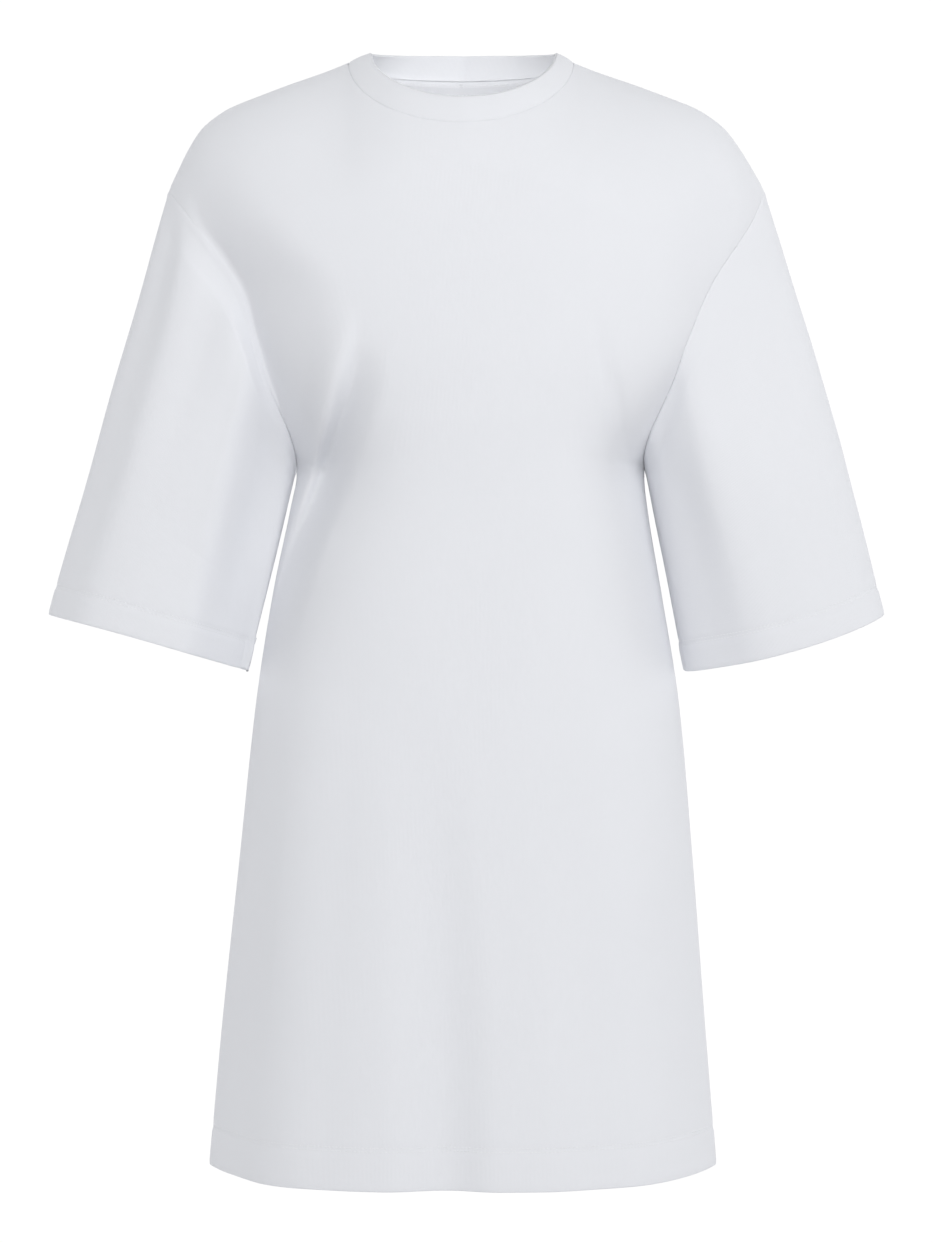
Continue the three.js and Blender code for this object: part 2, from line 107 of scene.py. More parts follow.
half, bottom = studio["floorSize"] / 2, studio["floor"]
stageSheet(
    "floor",
    [(-half, -half, bottom), (half, -half, bottom), (half, half, bottom), (-half, half, bottom)],
    plainMaterial("pale floor", (0.86, 0.86, 0.87), 0.8),
)
half, away, top = studio["backdropWidth"] / 2, studio["backdropAt"], bottom + studio["backdropHeight"]
stageSheet(
    "backdrop",
    [(-half, away, bottom), (half, away, bottom), (half, away, top), (-half, away, top)],
    plainMaterial("white backdrop", (0.0, 0.0, 0.0), 1.0, studio["backdropGlow"]),
)
middle = (0, 0, -0.45)
for name, spec in lights.items():
    softLight(name, spec["power"], spec["size"], spec["at"], spec.get("aim", middle), spec.get("cone"))
world = bpy.data.worlds.new("studio air")
bpy.context.scene.world = world
world.use_nodes = True
world.node_tree.nodes["Background"].inputs["Color"].default_value = (0.985, 0.99, 1.0, 1)
world.node_tree.nodes["Background"].inputs["Strength"].default_value = studio["world"]
bpy.context.scene.view_settings.view_transform = "Standard"
print("camera and studio ready")


# Curves and tables

def readTable(table, column, at, key="z"):
    # smooth curve through a column of a table, read at any places; one number stands for a whole column
    places = np.array(table[key], float)
    values = np.ones(len(places)) * table[column]
    if places[0] > places[-1]:
        places, values = places[::-1], values[::-1]
    at = np.clip(np.asarray(at, float), places[0], places[-1])
    slopes = np.empty_like(values)
    slopes[1:-1] = (values[2:] - values[:-2]) / (places[2:] - places[:-2])
    slopes[0] = (values[1] - values[0]) / (places[1] - places[0])
    slopes[-1] = (values[-1] - values[-2]) / (places[-1] - places[-2])
    i = np.clip(np.searchsorted(places, at, side="right") - 1, 0, len(places) - 2)
    span = places[i + 1] - places[i]
    t = (at - places[i]) / span
    rise = values[i + 1] - values[i]
    bend = (1 - t) * (slopes[i] * span - rise) - t * (slopes[i + 1] * span - rise)
    return values[i] + t * rise + t * (1 - t) * bend


def lengthAlong(line):
    return np.concatenate([[0], np.cumsum(np.linalg.norm(np.diff(line, axis=0), axis=1))])


def smoothPath(points, steps=60):
    # even, rounded path through a few points, returned with its running length
    points = np.array(points, float)
    ends = np.vstack([2 * points[0] - points[1], points, 2 * points[-1] - points[-2]])
    found = []
    for i in range(1, len(ends) - 2):
        p0, p1, p2, p3 = ends[i - 1:i + 3]
        k1 = np.linalg.norm(p1 - p0) ** 0.5
        k2 = k1 + np.linalg.norm(p2 - p1) ** 0.5
        k3 = k2 + np.linalg.norm(p3 - p2) ** 0.5
        t = np.linspace(k1, k2, steps, endpoint=False)[:, None]
        a1 = (k1 - t) / k1 * p0 + t / k1 * p1
        a2 = (k2 - t) / (k2 - k1) * p1 + (t - k1) / (k2 - k1) * p2
        a3 = (k3 - t) / (k3 - k2) * p2 + (t - k2) / (k3 - k2) * p3
        b1 = (k2 - t) / k2 * a1 + t / k2 * a2
        b2 = (k3 - t) / (k3 - k1) * a2 + (t - k1) / (k3 - k1) * a3
        found.append((k2 - t) / (k2 - k1) * b1 + (t - k1) / (k2 - k1) * b2)
    found.append(points[-1:])
    path = np.vstack(found)
    length = lengthAlong(path)
    return path, length / length[-1]


def alongPath(path, part):
    points, length = path
    return np.stack([np.interp(part, length, points[:, k]) for k in range(points.shape[1])], axis=-1)


def smoothStep(value, low, high):
    t = np.clip((value - low) / (high - low), 0, 1)
    return t * t * (3 - 2 * t)


def bell(distance):
    return 0.5 + 0.5 * np.cos(np.pi * np.clip(np.abs(distance), 0, 1))


def crease(distance, sharp):
    # from a soft round trough (0) to one with straight flanks and a narrow bottom (1)
    away = np.clip(np.sqrt(np.abs(distance) ** 2 + 0.003), 0, 1)
    straight = np.where(away < 0.6, 1 - 1.25 * away, 1.5625 * (1 - away) ** 2)
    return (1 - sharp) * bell(distance) + sharp * straight


# Cloth: grids of points in millimetres turned into thin meshes

cloth = {
    "thickness": 1.1, "seamGap": 0.06, "seamDip": 0.12, "seamReach": 1.2, "layerBehind": 1.35,
    "turnUpGap": 1.3, "turnUpFoot": 0.03, "foldAngles": (0.75, 0.15), "foldSteps": 4, "foldDrop": 0.8,
}
# each stitch has rings of points, placed by a share of its length and of its width, and a height
stitch = {
    "spacing": 2.8, "pitch": 3.1, "length": 2.3, "thread": 0.27, "round": 6, "margin": 1.5, "look": 0.5,
    "rings": [(-0.5, 0.5, -0.22), (-0.34, 1.0, 0.06), (0.34, 1.0, 0.06), (0.5, 0.5, -0.22)],
}
groove = {"depth": 0.35, "reach": 1.5, "fullness": 0.35, "fullFrom": 3, "fullTo": 6, "fullEnd": 1}


def gridNormals(points, closed=False):
    if closed:
        across = np.roll(points, -1, axis=1) - np.roll(points, 1, axis=1)
    else:
        across = np.gradient(points, axis=1)
    up = np.gradient(points, axis=0)
    normal = np.cross(across, up)
    return normal / np.maximum(np.linalg.norm(normal, axis=2, keepdims=True), 1e-9)


def runningLength(points, axis):
    steps = np.linalg.norm(np.diff(points, axis=axis), axis=2)
    start = np.zeros_like(np.take(steps, [0], axis=axis))
    return np.cumsum(np.concatenate([start, steps], axis=axis), axis=axis)


def clothMesh(name, points, material, node=None, closed=False, thickness=cloth["thickness"]):
    rows, columns = points.shape[:2]
    wide = columns if closed else columns - 1
    r, c = np.meshgrid(np.arange(rows - 1), np.arange(wide), indexing="ij")
    a = (r * columns + c).ravel()
    b = (r * columns + (c + 1) % columns).ravel()
    faces = np.stack([a, b, b + columns, a + columns], axis=1)
    mesh = bpy.data.meshes.new(name)
    mesh.vertices.add(rows * columns)
    mesh.vertices.foreach_set("co", (points * mm).astype(np.float32).ravel())
    mesh.loops.add(faces.size)
    mesh.loops.foreach_set("vertex_index", faces.ravel().astype(np.int32))
    mesh.polygons.add(len(faces))
    mesh.polygons.foreach_set("loop_start", np.arange(0, faces.size, 4, dtype=np.int32))
    mesh.polygons.foreach_set("loop_total", np.full(len(faces), 4, dtype=np.int32))
    mesh.update(calc_edges=True)
    # UVs in metres, so that the knit has its real scale everywhere
    ring = np.concatenate([points, points[:, :1]], axis=1) if closed else points
    across = runningLength(ring, 1)
    across = across - across[:, across.shape[1] // 2][:, None]
    along = np.repeat(runningLength(points, 0).mean(axis=1)[:, None], ring.shape[1], axis=1)
    u = np.stack([across[:-1, :-1], across[:-1, 1:], across[1:, 1:], across[1:, :-1]], axis=2)
    v = np.stack([along[:-1, :-1], along[:-1, 1:], along[1:, 1:], along[1:, :-1]], axis=2)
    layer = mesh.uv_layers.new(name="cloth metres")
    layer.data.foreach_set("uv", (np.stack([u, v], axis=3) * mm).astype(np.float32).ravel())
    mesh.polygons.foreach_set("use_smooth", np.ones(len(faces), bool))
    # the cut edges stay sharp, so that the shading doesn't turn dark beside a seam
    edgeOfLoop = np.empty(len(mesh.loops), np.int32)
    mesh.loops.foreach_get("edge_index", edgeOfLoop)
    sharp = mesh.attributes.new("sharp_edge", "BOOLEAN", "EDGE")
    sharp.data.foreach_set("value", np.bincount(edgeOfLoop, minlength=len(mesh.edges)) == 1)
    mesh.materials.append(material)
    made = bpy.data.objects.new(name, mesh)
    bpy.context.scene.collection.objects.link(made)
    thick = made.modifiers.new("cloth thickness", "SOLIDIFY")
    thick.thickness = thickness * mm
    thick.offset = -1
    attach(made, "root")
    if node:
        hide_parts(node)
    return made


def pointsFromEdge(points, distance, edge, closed=False):
    # the line that runs at one distance from an edge of a grid, with the outward directions along it
    normals = gridNormals(points, closed)
    if edge in ("first column", "last column"):
        points, normals = points.swapaxes(0, 1), normals.swapaxes(0, 1)
    if edge in ("last column", "last row"):
        points, normals = points[::-1], normals[::-1]
    lengths = runningLength(points, 0)
    line, outward = np.empty_like(points[0]), np.empty_like(points[0])
    for c in range(points.shape[1]):
        for k in range(3):
            line[c, k] = np.interp(distance, lengths[:, c], points[:, c, k])
            outward[c, k] = np.interp(distance, lengths[:, c], normals[:, c, k])
    return line, outward


def linesBehind(points, edge, distances, part=slice(None)):
    # lines beside an edge on the inside of the cloth
    lines = []
    for distance in distances:
        line, outward = pointsFromEdge(points, distance, edge)
        lines.append((line - outward * cloth["layerBehind"])[part])
    return lines


def seamDip(distance):
    # how far the cloth turns in as it comes to a seam
    return cloth["seamDip"] * np.exp(-(distance / cloth["seamReach"]) ** 2)


def twinRows(width):
    # the two rows of stitching that hold a turn-up
    return width - stitch["spacing"] / 2, width + stitch["spacing"] / 2


def stitchPull(fromEdge, width):
    # the pull of both rows, and the slight fullness of the doubled edge below them
    pull = np.zeros(fromEdge.shape)
    for row in twinRows(width):
        pull -= groove["depth"] * np.exp(-((fromEdge - row) / groove["reach"]) ** 2)
    full = smoothStep(fromEdge, 0, groove["fullFrom"])
    full = full * (1 - smoothStep(fromEdge, width - groove["fullTo"], width - groove["fullEnd"]))
    return pull + groove["fullness"] * full


def withTurnUp(points, width, edge, rowsIn, closed=False, room=1.0):
    # the edge folded in: down the inside, round the fold and on along the outside, all one sheet
    gap = cloth["turnUpGap"]
    folded = []
    for part in np.linspace(1, cloth["turnUpFoot"], rowsIn):
        line, outward = pointsFromEdge(points, width * part, edge, closed)
        folded.append(line - outward * 2 * gap * room)
    end, outward = pointsFromEdge(points, 0, edge, closed)
    beyond = end - (points[2] if edge == "first row" else points[-3])
    beyond *= room / np.linalg.norm(beyond, axis=1, keepdims=True)
    for angle in np.linspace(*cloth["foldAngles"], cloth["foldSteps"]) * math.pi:
        back = gap * (1 - math.cos(angle))
        folded.append(end - outward * room * back + beyond * gap * math.sin(angle) * cloth["foldDrop"])
    if edge == "first row":
        return np.concatenate([folded, points])
    return np.concatenate([points, folded[::-1]])


# Finishes

def jerseyMaterial(name, look):
    made = bpy.data.materials.new(name)
    made.use_nodes = True
    nodes, links = made.node_tree.nodes, made.node_tree.links
    shader = nodes["Principled BSDF"]
    shader.inputs["Roughness"].default_value = look["roughness"]
    shader.inputs["Specular IOR Level"].default_value = look["specular"]
    shader.inputs["Sheen Weight"].default_value = look["sheen"]
    shader.inputs["Sheen Roughness"].default_value = 0.45
    shader.inputs["Sheen Tint"].default_value = (0.95, 0.97, 1.0, 1)
    uv = nodes.new("ShaderNodeUVMap")
    uv.uv_map = "cloth metres"

    def knitWave(direction, perMetre, distortion, detailScale):
        wave = nodes.new("ShaderNodeTexWave")
        wave.wave_type = "BANDS"
        wave.bands_direction = direction
        wave.inputs["Scale"].default_value = perMetre * math.tau / 20
        wave.inputs["Distortion"].default_value = distortion
        wave.inputs["Detail"].default_value = 2
        wave.inputs["Detail Scale"].default_value = detailScale
        links.new(uv.outputs["UV"], wave.inputs["Vector"])
        return wave.outputs["Fac"]

    def noise(scale, detail):
        made = nodes.new("ShaderNodeTexNoise")
        made.inputs["Scale"].default_value = scale
        made.inputs["Detail"].default_value = detail
        links.new(uv.outputs["UV"], made.inputs["Vector"])
        return made.outputs["Fac"]

    def addShare(share, part, whole):
        made = nodes.new("ShaderNodeMath")
        made.operation = "MULTIPLY_ADD"
        made.inputs[1].default_value = share
        links.new(part, made.inputs[0])
        links.new(whole, made.inputs[2])
        return made.outputs[0]

    # wales: fine upright ridges, broken into loops along their length
    wales = knitWave("X", look["walesPerMetre"], 1.2, 3)
    loops = knitWave("Y", look["coursesPerMetre"], 1.5, 1)
    knit = addShare(0.35, loops, wales)
    # yarn slubs and a faint unevenness of the white
    slub = noise(260, 3)
    cloud = noise(7, 4)
    tone = nodes.new("ShaderNodeValToRGB")
    tone.color_ramp.elements[0].position = 0.35
    tone.color_ramp.elements[0].color = (*look["shade"], 1)
    tone.color_ramp.elements[1].position = 0.95
    tone.color_ramp.elements[1].color = (*look["colour"], 1)
    links.new(addShare(0.3, slub, cloud), tone.inputs["Fac"])
    links.new(tone.outputs["Color"], shader.inputs["Base Color"])
    bump = nodes.new("ShaderNodeBump")
    bump.inputs["Strength"].default_value = look["bump"]
    bump.inputs["Distance"].default_value = 0.0004
    links.new(addShare(0.6, slub, knit), bump.inputs["Height"])
    links.new(bump.outputs["Normal"], shader.inputs["Normal"])
    return made


jerseyLook = {
    "colour": (0.835, 0.845, 0.875), "shade": (0.815, 0.825, 0.855), "roughness": 0.86, "specular": 0.22,
    "sheen": 0.12, "walesPerMetre": 950, "coursesPerMetre": 1300, "bump": 0.25,
}
bandLook = {**jerseyLook, "colour": (0.84, 0.85, 0.88), "shade": (0.82, 0.83, 0.86)}
twillLook = {
    "colour": (0.80, 0.81, 0.84), "shade": (0.77, 0.78, 0.81), "roughness": 0.8, "specular": 0.25,
    "sheen": 0.05, "walesPerMetre": 1500, "coursesPerMetre": 1500, "bump": 0.3,
}
jersey = jerseyMaterial("white jersey", jerseyLook)
bandJersey = jerseyMaterial("doubled white jersey", bandLook)
twill = jerseyMaterial("neck tape", twillLook)
thread = plainMaterial("white thread", (0.86, 0.87, 0.89), 0.55)
print("finishes ready")


# Body: the sections and lines that front and back follow, in millimetres

body = {
    "hem": -914, "underarm": -337, "underarmHalf": 144.5, "drawIn": 0.75, "drawLeft": 35, "drawRight": 16,
    "shoulderPoint": -107, "shoulderHalf": 247, "shoulderTurn": 130, "armCurve": 2.1, "neckHalf": 93.5,
    "blendFrom": 0.35, "sideFade": 1.6, "topFade": 1.4, "hemTurnUp": 32, "hemRowsIn": 10,
    "halfColumns": 75, "neckColumns": 35, "skirtRows": 150, "armholeRows": 96,
    "lean": 0.3, "leanFrom": 10, "leanHeight": 230, "leanFade": 80,
    "sections": {
        "z": [40, -8, -60, -107, -150, -192, -250, -300, -320, -337, -372, -438, -530, -662, -795,
              -914],
        "half": [285, 276, 267, 255, 239, 221, 194, 163, 151.5, 144.5, 148.6, 161, 175.5, 188.4, 200.4,
                 210.5],
        "inner": [285, 276, 267, 255, 239, 221, 196, 178, 172, 168.8, 165, 168, 177, 188.4, 200.4,
                  210.5],
        "middle": [-4.5, -4.5, -2.5, 0, 0.5, 1, 2, 3, 3.4, 3.6, 2, 0.6, 0.8, -0.4, -2.4, -3],
        "front": [100, 100, 101, 106, 112, 118, 123, 122, 120.5, 119.6, 118, 117, 120, 128, 139, 150],
        "back": [88, 90, 92, 96, 100, 103, 105, 105, 104.4, 104, 103.5, 105, 110, 120, 133, 146],
        "flatness": [2.4, 2.4, 2.4, 2.4, 2.4, 2.4, 2.4, 2.5, 2.6, 2.7, 2.9, 3.1, 3.3, 3.4, 3.5, 3.6],
        "edge": [.42, .42, .42, .42, .42, .42, .43, .54, .61, .67, .7, .72, .75, .8, .84, .88],
    },
    "shoulderLine": {
        "x": [0, 50, 80, 93.5, 113, 141, 167, 193, 208, 218, 229, 238.5, 247, 262],
        "z": [34, 22, 7, 0, -8, -18, -28, -38.5, -48, -57, -73, -90, -107, -150],
    },
    "leftArmhole": [(227, -133), (211, -154), (189, -184), (177.5, -214), (170, -244), (160, -276),
                    (146, -309), (141.6, -326)],
    "rightArmhole": [(236, -133), (223, -154), (200, -189), (180, -235), (168.5, -268), (159, -290),
                     (150, -311), (146.8, -326)],
}


def section(column, z):
    return readTable(body["sections"], column, z)


def sidePoint(side, z, share=1.0):
    z = np.asarray(z, float)
    x = section("middle", z) + side * share * section("half", z)
    return np.stack(np.broadcast_arrays(x, z), axis=-1)


shoulderEnd = {}
armholePath = {}
shoulderPath = {}
for side, key in ((-1, "leftArmhole"), (1, "rightArmhole")):
    end = body["shoulderPoint"]
    shoulderEnd[side] = np.array([section("middle", end) + side * body["shoulderHalf"], end])
    rows = [(side * x, z) for x, z in reversed(body[key])]
    armholePath[side] = smoothPath([sidePoint(side, body["underarm"]), *rows, shoulderEnd[side]])
    line = body["shoulderLine"]
    rows = [(section("middle", z) + side * x, z) for x, z in zip(line["x"], line["z"]) if end <= z <= 0]
    shoulderPath[side] = smoothPath(rows)

# Folds: each follows a line down the cloth and presses it in (a negative depth lifts it). Lower and
# higher are its reach towards lower x and higher x, so that one side can be sharp and the other soft.
frontFolds = {
    "deep armpit fold, left": {
        "z": [-88, -112, -135, -160, -192, -230, -262, -300, -335, -352],
        "x": [-226, -222, -217, -202, -182, -171, -162, -148, -140, -138],
        "depth": [0, 6, 14, 22, 29, 31, 28, 17, 6, 0],
        "lower": [24, 22, 20, 20, 20, 18, 16, 14, 12, 12],
        "higher": [46, 56, 64, 72, 80, 78, 62, 40, 28, 24], "sharp": 0.85},
    "ridge beside it": {
        "z": [-212, -240, -264, -297, -325, -350, -378], "x": [-97, -101, -107, -117, -126, -134, -144],
        "depth": [0, -4, -8, -14, -19, -13, 0], "lower": [26, 26, 24, 22, 18, 15, 12],
        "higher": [16, 16, 15, 14, 13, 12, 12]},
    "long drag fold to the left side": {
        "z": [-244, -264, -297, -330, -364, -397, -446, -485],
        "x": [-84, -88, -99, -113, -126, -141, -157, -169], "depth": [0, 6, 18, 27, 32, 30, 18, 0],
        "lower": [12, 12, 12, 12, 13, 13, 13, 12], "higher": [20, 26, 30, 32, 32, 32, 32, 32],
        "sharp": 0.6},
    "armpit fold, right": {
        "z": [-76, -110, -160, -210, -260, -310, -340], "x": [218, 212, 200, 186, 170, 154, 148],
        "depth": [0, 2, 3, 3, 1.5, 0.5, 0], "lower": [34, 40, 46, 46, 40, 30, 24],
        "higher": [24, 24, 22, 20, 18, 16, 16]},
    "fine drag line, right": {
        "z": [-214, -250, -300, -345, -372], "x": [103, 108, 120, 132, 140],
        "depth": [0, 2.2, 3.4, 2.4, 0], "lower": [10, 10, 11, 12, 12], "higher": [14, 15, 16, 16, 16]},
    "second drag line, right": {
        "z": [-262, -300, -340, -368], "x": [120, 126, 136, 146], "depth": [0, 2, 2, 0], "lower": 8,
        "higher": 9},
    "soft trough down the middle": {
        "z": [-540, -640, -760, -850, -930], "x": [-34, -26, -20, -18, -16], "depth": [0, 4, 8, 10, 11],
        "lower": [40, 46, 50, 50, 50], "higher": [36, 40, 42, 42, 42]},
    "soft trough, right of the middle": {
        "z": [-560, -700, -800, -930], "x": [76, 88, 98, 108], "depth": [0, 3, 4.5, 5],
        "lower": [40, 42, 44, 46], "higher": [40, 44, 46, 46]},
    "soft swell, left": {
        "z": [-450, -560, -680, -800, -930], "x": [-126, -138, -148, -157, -164],
        "depth": [0, -6, -8, -8, -8], "lower": [24, 26, 28, 30, 32], "higher": [44, 50, 54, 56, 56]},
}
backFolds = {
    "armpit fold, left": {
        "z": [-84, -130, -190, -250, -310, -348], "x": [-212, -204, -186, -168, -152, -144],
        "depth": [0, 7, 13, 13, 8, 0], "lower": [26, 24, 20, 18, 16, 14],
        "higher": [50, 58, 62, 56, 44, 34]},
    "armpit fold, right": {
        "z": [-80, -130, -190, -250, -310, -348], "x": [215, 207, 190, 171, 157, 150],
        "depth": [0, 8, 15, 15, 9, 0], "lower": [52, 60, 66, 60, 46, 36],
        "higher": [26, 24, 20, 18, 16, 14]},
    "drag fold to the right side": {
        "z": [-245, -300, -360, -420, -475], "x": [94, 112, 134, 153, 166], "depth": [0, 8, 10, 7, 0],
        "lower": [44, 48, 50, 50, 50], "higher": 22},
    "drag fold to the left side": {
        "z": [-310, -380, -450, -545], "x": [-74, -98, -124, -154], "depth": [0, 7, 8, 0], "lower": 26,
        "higher": [44, 48, 50, 50]},
    "hollow of the back": {
        "z": [-150, -280, -420, -620], "x": [4, 2, -2, -8], "depth": [0, 5, 7, 0],
        "lower": [44, 50, 52, 50], "higher": [44, 50, 52, 50]},
    "skirt trough, left": {
        "z": [-540, -680, -800, -930], "x": [-60, -68, -78, -86], "depth": [0, 4, 6, 8],
        "lower": [44, 46, 46, 46], "higher": [42, 44, 44, 44]},
    "skirt trough, right": {
        "z": [-590, -700, -820, -930], "x": [52, 56, 60, 62], "depth": [0, 4, 6, 7],
        "lower": [42, 42, 44, 44], "higher": [46, 48, 50, 50]},
}
faces = {
    "front": {"sign": -1, "folds": frontFolds, "neckCurve": 1.6, "neckDrop": 62, "phase": 0.0},
    "back": {"sign": 1, "folds": backFolds, "neckCurve": 2.0, "neckDrop": 6, "phase": 2.1},
}


def pressIn(folds, x, z):
    depth = np.zeros(np.broadcast(x, z).shape)
    for fold in folds.values():
        middle = readTable(fold, "x", z)
        inside = (z < fold["z"][0]) & (z > fold["z"][-1])
        reach = np.where(x < middle, readTable(fold, "lower", z), readTable(fold, "higher", z))
        shape = crease((x - middle) / reach, fold.get("sharp", 0))
        depth += np.where(inside, readTable(fold, "depth", z), 0) * shape
    return depth


def unevenness(x, z, phase):
    # long shallow waves of cloth that never lies quite true
    a = np.sin(x * 0.031 + z * 0.011 + phase) * np.sin(z * 0.017 - x * 0.006 + 2 * phase)
    b = np.sin(x * 0.067 - z * 0.019 + 1.3 + phase) * np.sin(z * 0.029 + x * 0.013 + phase)
    return 0.5 * a + 0.22 * b


def depthAt(face, x, z):
    fromMiddle = np.abs(x - section("middle", z))
    toSide = np.clip(fromMiddle / section("half", z), 0, 1)
    toGuide = np.clip(fromMiddle / section("inner", z), 0, 1)
    blend = smoothStep(toSide, body["blendFrom"], 1)
    outward = toGuide * (1 - blend) + toSide * blend
    across = np.clip(1 - outward ** section("flatness", z), 0, 1) ** section("edge", z)
    below = readTable(body["shoulderLine"], "z", fromMiddle, key="x") - z
    turned = np.clip(below / body["shoulderTurn"], 0, 1)
    towardsArm = smoothStep(fromMiddle, body["neckHalf"], 2 * body["neckHalf"])
    curve = faces[face]["neckCurve"] * (1 - towardsArm) + body["armCurve"] * towardsArm
    overShoulder = (1 - (1 - turned) ** curve) ** (1 / curve)
    fade = np.minimum(1, body["sideFade"] * across) * np.minimum(1, body["topFade"] * overShoulder)
    pressed = pressIn(faces[face]["folds"], x, z) + unevenness(x, z, faces[face]["phase"])
    # front and back draw together in a shallow cone towards the underarm's corner
    corner = np.hypot(fromMiddle - body["underarmHalf"], z - body["underarm"])
    toRight = smoothStep(x, -body["underarmHalf"], body["underarmHalf"])
    reach = body["drawLeft"] * (1 - toRight) + body["drawRight"] * toRight
    drawn = 1 - body["drawIn"] * np.exp(-corner / reach)
    return (section(face, z) * across * overShoulder - pressed * fade) * drawn


def surfacePoint(face, flat):
    y = faces[face]["sign"] * depthAt(face, flat[..., 0], flat[..., 1])
    return np.stack([flat[..., 0], y, flat[..., 1]], axis=-1)


def neckEdge(face, turn):
    x = section("middle", 0) + body["neckHalf"] * np.sin(turn)
    return np.stack([x, -faces[face]["neckDrop"] * np.cos(turn)], axis=-1)


def easedStep(step, steps):
    return 0.5 - 0.5 * np.cos(np.pi * step / steps)


def panelGrid(face):
    half, neck = body["halfColumns"], body["neckColumns"]
    columns = np.arange(-half, half + 1)
    side = np.where(columns < 0, -1, 1)
    share = np.sin(0.5 * np.pi * np.abs(columns) / half)
    low, high = body["hem"], body["underarm"]
    heights = np.linspace(low, high, body["skirtRows"], endpoint=False)
    rows = [sidePoint(side, np.full(len(columns), z), share) for z in heights]
    topEdge = np.empty((len(columns), 2))
    for i, c in enumerate(columns):
        if abs(c) <= neck:
            topEdge[i] = neckEdge(face, 0.5 * np.pi * c / neck)
        else:
            topEdge[i] = alongPath(shoulderPath[side[i]], (abs(c) - neck) / (half - neck))
    lowEdge = sidePoint(side, np.full(len(columns), high), share)
    away = np.abs(columns)
    lean = smoothStep(away, body["leanFrom"], neck) * (1 - smoothStep(away, neck, half)) * body["lean"]
    for j in range(body["armholeRows"] + 1):
        t = easedStep(j, body["armholeRows"])
        row = lowEdge * (1 - t) + topEdge * t
        for s in (-1, 1):
            armhole = alongPath(armholePath[s], t)
            chord = sidePoint(s, high) * (1 - t) + shoulderEnd[s] * t
            chosen = side == s
            row[chosen] += (armhole - chord) * share[chosen][:, None]
        # under the neck's corners the columns lean outwards, clear of the neck's own edge
        down = (1 - t) * body["leanHeight"]
        row[:, 0] += side * lean * down * math.exp(-down / body["leanFade"])
        rows.append(row)
    flat = np.array(rows)
    points = surfacePoint(face, flat)
    points[..., 1] += faces[face]["sign"] * cloth["seamGap"] / 2
    return points if face == "front" else points[:, ::-1]


def edgeDips(points):
    normals = gridNormals(points)
    across = runningLength(points, 1)
    toSide = np.minimum(across, across[:, -1:] - across)
    up = runningLength(points, 0)
    toTop = up[-1:] - up
    inwards = seamDip(toSide) + seamDip(toTop)
    return points - normals * np.minimum(inwards, cloth["seamDip"])[..., None]


panelPoints = {}
for face, node in (("front", "front_panel"), ("back", "back_panel")):
    points = edgeDips(panelGrid(face))
    pull = stitchPull(runningLength(points, 0), body["hemTurnUp"])
    points = points + gridNormals(points) * pull[..., None]
    panelPoints[face] = points
    points = withTurnUp(points, body["hemTurnUp"], "first row", body["hemRowsIn"])
    clothMesh(node + "_cloth", points, jersey, node)
    print("made the", face)


# Sleeves

sleeve = {
    "cuffCentre": (264, -481), "cuffHalfWidth": 86, "cuffHalfDepth": 60, "roundness": 2.2,
    "armAngle": math.radians(16), "shiftOut": 0.04, "shiftDown": 0.01, "turnUp": 24, "rows": 130,
    "rowsIn": 8, "foldStart": 12, "wavesStart": 6, "seamSwell": 0.45, "seamSwellAt": 3.2,
    "seamSwellReach": 2.2, "leastRoom": 0.2, "roomReach": 5,
}
underarm = {"frontRidge": 0.6, "backRidge": 1.4, "start": 0.12, "slant": 1.7}
leftSleeveFolds = {
    "outer front, which stands forward": {
        "u": [0, 0.12, 0.5, 1.0], "round": [0.26, 0.27, 0.27, 0.27], "depth": [0, -6, -8, -7],
        "lower": 0.22, "higher": 0.3, "back": True},
    "inner front, which falls back": {
        "u": [0.02, 0.3, 0.7, 1.0], "round": [0.8, 0.8, 0.81, 0.82], "depth": [0, 14, 14, 11],
        "lower": [0.24, 0.24, 0.24, 0.22], "higher": [0.2, 0.2, 0.2, 0.18], "back": True},
    "ridge beside the armpit fold": {
        "u": [0, 0.09, 0.3, 0.7], "round": [0.58, 0.58, 0.58, 0.6], "depth": [0, -12, -10, 0],
        "lower": [0.28, 0.28, 0.24, 0.2], "higher": [0.24, 0.24, 0.2, 0.2], "back": True},
    "overarm crease": {
        "u": [0, 0.06, 0.3, 0.7, 1], "round": [0.12, 0.12, 0.15, 0.18, 0.2], "depth": [0, 4, 5, 4, 3],
        "lower": [0.07, 0.07, 0.09, 0.12, 0.12], "higher": [0.1, 0.1, 0.12, 0.14, 0.14]},
    "soft trough to the cuff": {
        "u": [0.25, 0.6, 1.0], "round": [0.78, 0.75, 0.72], "depth": [0, 4, 4], "lower": 0.16,
        "higher": 0.14},
    "back fold": {
        "u": [0, 0.2, 0.6, 1], "round": [1.36, 1.38, 1.42, 1.44], "depth": [0, 7, 5, 0], "lower": 0.2,
        "higher": 0.2},
}
rightSleeveFolds = {
    "swell beside the armpit": {
        "u": [0, 0.15, 0.35, 0.7], "round": [0.6, 0.6, 0.58, 0.56], "depth": [0, -3, -5, 0],
        "lower": 0.22, "higher": 0.2},
    "soft trough to the cuff": {
        "u": [0.15, 0.5, 1.0], "round": [0.74, 0.73, 0.7], "depth": [0, 5, 5], "lower": 0.18,
        "higher": 0.18},
    "overarm hollow": {
        "u": [0, 0.3, 0.8, 1.0], "round": [0.3, 0.31, 0.33, 0.34], "depth": [0, 3, 2, 1], "lower": 0.14,
        "higher": 0.14},
    "back fold": {
        "u": [0, 0.2, 0.6, 1], "round": [1.4, 1.42, 1.45, 1.46], "depth": [0, 6, 5, 0], "lower": 0.2,
        "higher": 0.2},
}
